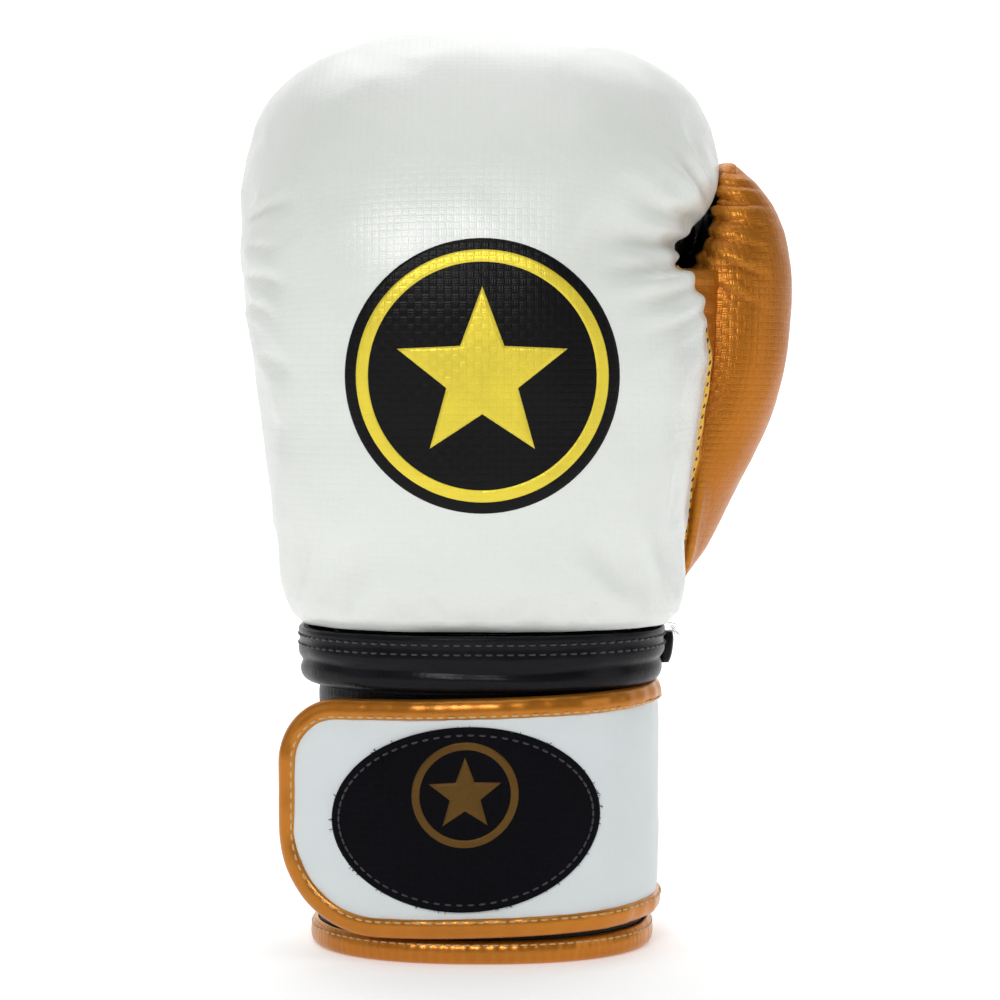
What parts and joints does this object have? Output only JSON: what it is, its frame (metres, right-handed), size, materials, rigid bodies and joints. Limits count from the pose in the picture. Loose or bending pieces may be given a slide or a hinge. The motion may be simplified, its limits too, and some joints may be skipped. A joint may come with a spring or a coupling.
{
  "type": "boxing glove",
  "caption": "Padded left-hand boxing glove with a separate thumb, a bound wrist cuff and a wrap-around strap that peels open.",
  "frame": {"origin": "centre of the bounding box on the face the glove stands on", "axes": "+Z from the wrist opening to the knuckles, -Y out of the back of the hand, +X towards the thumb"},
  "size_m": [0.1808, 0.1353, 0.298],
  "materials": {
    "white_leather": "pearl synthetic leather, fine grain, satin",
    "black_leather": "black synthetic leather, satin",
    "gold_leather": "metallic gold synthetic leather, fine grain",
    "gold_trim": "metallic gold binding, glossy",
    "gold_print": "thick gold print",
    "bronze_thread": "embroidered bronze thread",
    "foam": "closed-cell padding foam",
    "black_fabric": "black woven lining",
    "cream_thread": "cream sewing thread",
    "black_thread": "black sewing thread",
    "hook_loop": "hook-and-loop tape"
  },
  "bodies": {
    "mitt": {"back_shell": "white_leather", "palm_panel": "black_leather", "finger_panel": "black_leather", "back_foam_outer": "foam", "back_foam_inner": "foam", "knuckle_foam_outer": "foam", "knuckle_foam_inner": "foam", "palm_foam": "foam", "finger_foam": "foam", "hand_lining": "black_fabric", "grip_bar": "black_leather", "badge_disc": "black_leather", "badge_ring": "gold_print", "badge_emblem": "gold_print", "thumb_outer_panel": "gold_leather", "thumb_inner_panel": "black_leather", "thumb_foam": "foam", "thumb_lining": "black_fabric", "thumb_lock": "black_leather", "thumb_seam_piping": "gold_trim", "thumb_seam_stitches": "black_thread", "cuff_shell": "black_leather", "cuff_foam": "foam", "cuff_lining": "black_fabric", "cuff_band": "black_leather", "cuff_band_stitches": "black_thread", "band_tab": "black_leather", "cuff_binding": "gold_trim", "cuff_binding_stitches": "cream_thread", "cuff_tongue": "black_fabric", "loop_pad": "hook_loop", "strap_anchor": "black_leather"},
    "strap_side": {"strap_elastic": "black_fabric", "strap_side_shell": "white_leather", "strap_side_backing": "black_fabric", "strap_side_binding": "gold_trim"},
    "strap_end": {"strap_end_shell": "white_leather", "strap_end_foam": "foam", "strap_end_backing": "black_fabric", "strap_end_binding": "gold_trim", "strap_stitches": "cream_thread", "hook_pad": "hook_loop", "strap_patch": "black_leather", "patch_stitches": "black_thread", "patch_roundel": "bronze_thread", "patch_emblem": "bronze_thread"}
  },
  "joints": [
    {"name": "strap_open", "type": "hinge", "parent": "mitt", "child": "strap_side", "pos_m": [-0.03978, 0.03901, 0.0475], "axis": [0, 0, 1], "range_deg": [0, 48]},
    {"name": "strap_peel", "type": "hinge", "parent": "strap_side", "child": "strap_end", "pos_m": [0.04312, -0.02272, 0.0475], "axis": [0, 0, 1], "range_deg": [0, 115]}
  ],
  "couplings": [
    {"joint": "strap_open", "follows": "strap_peel", "ratio": 0.4}
  ]
}
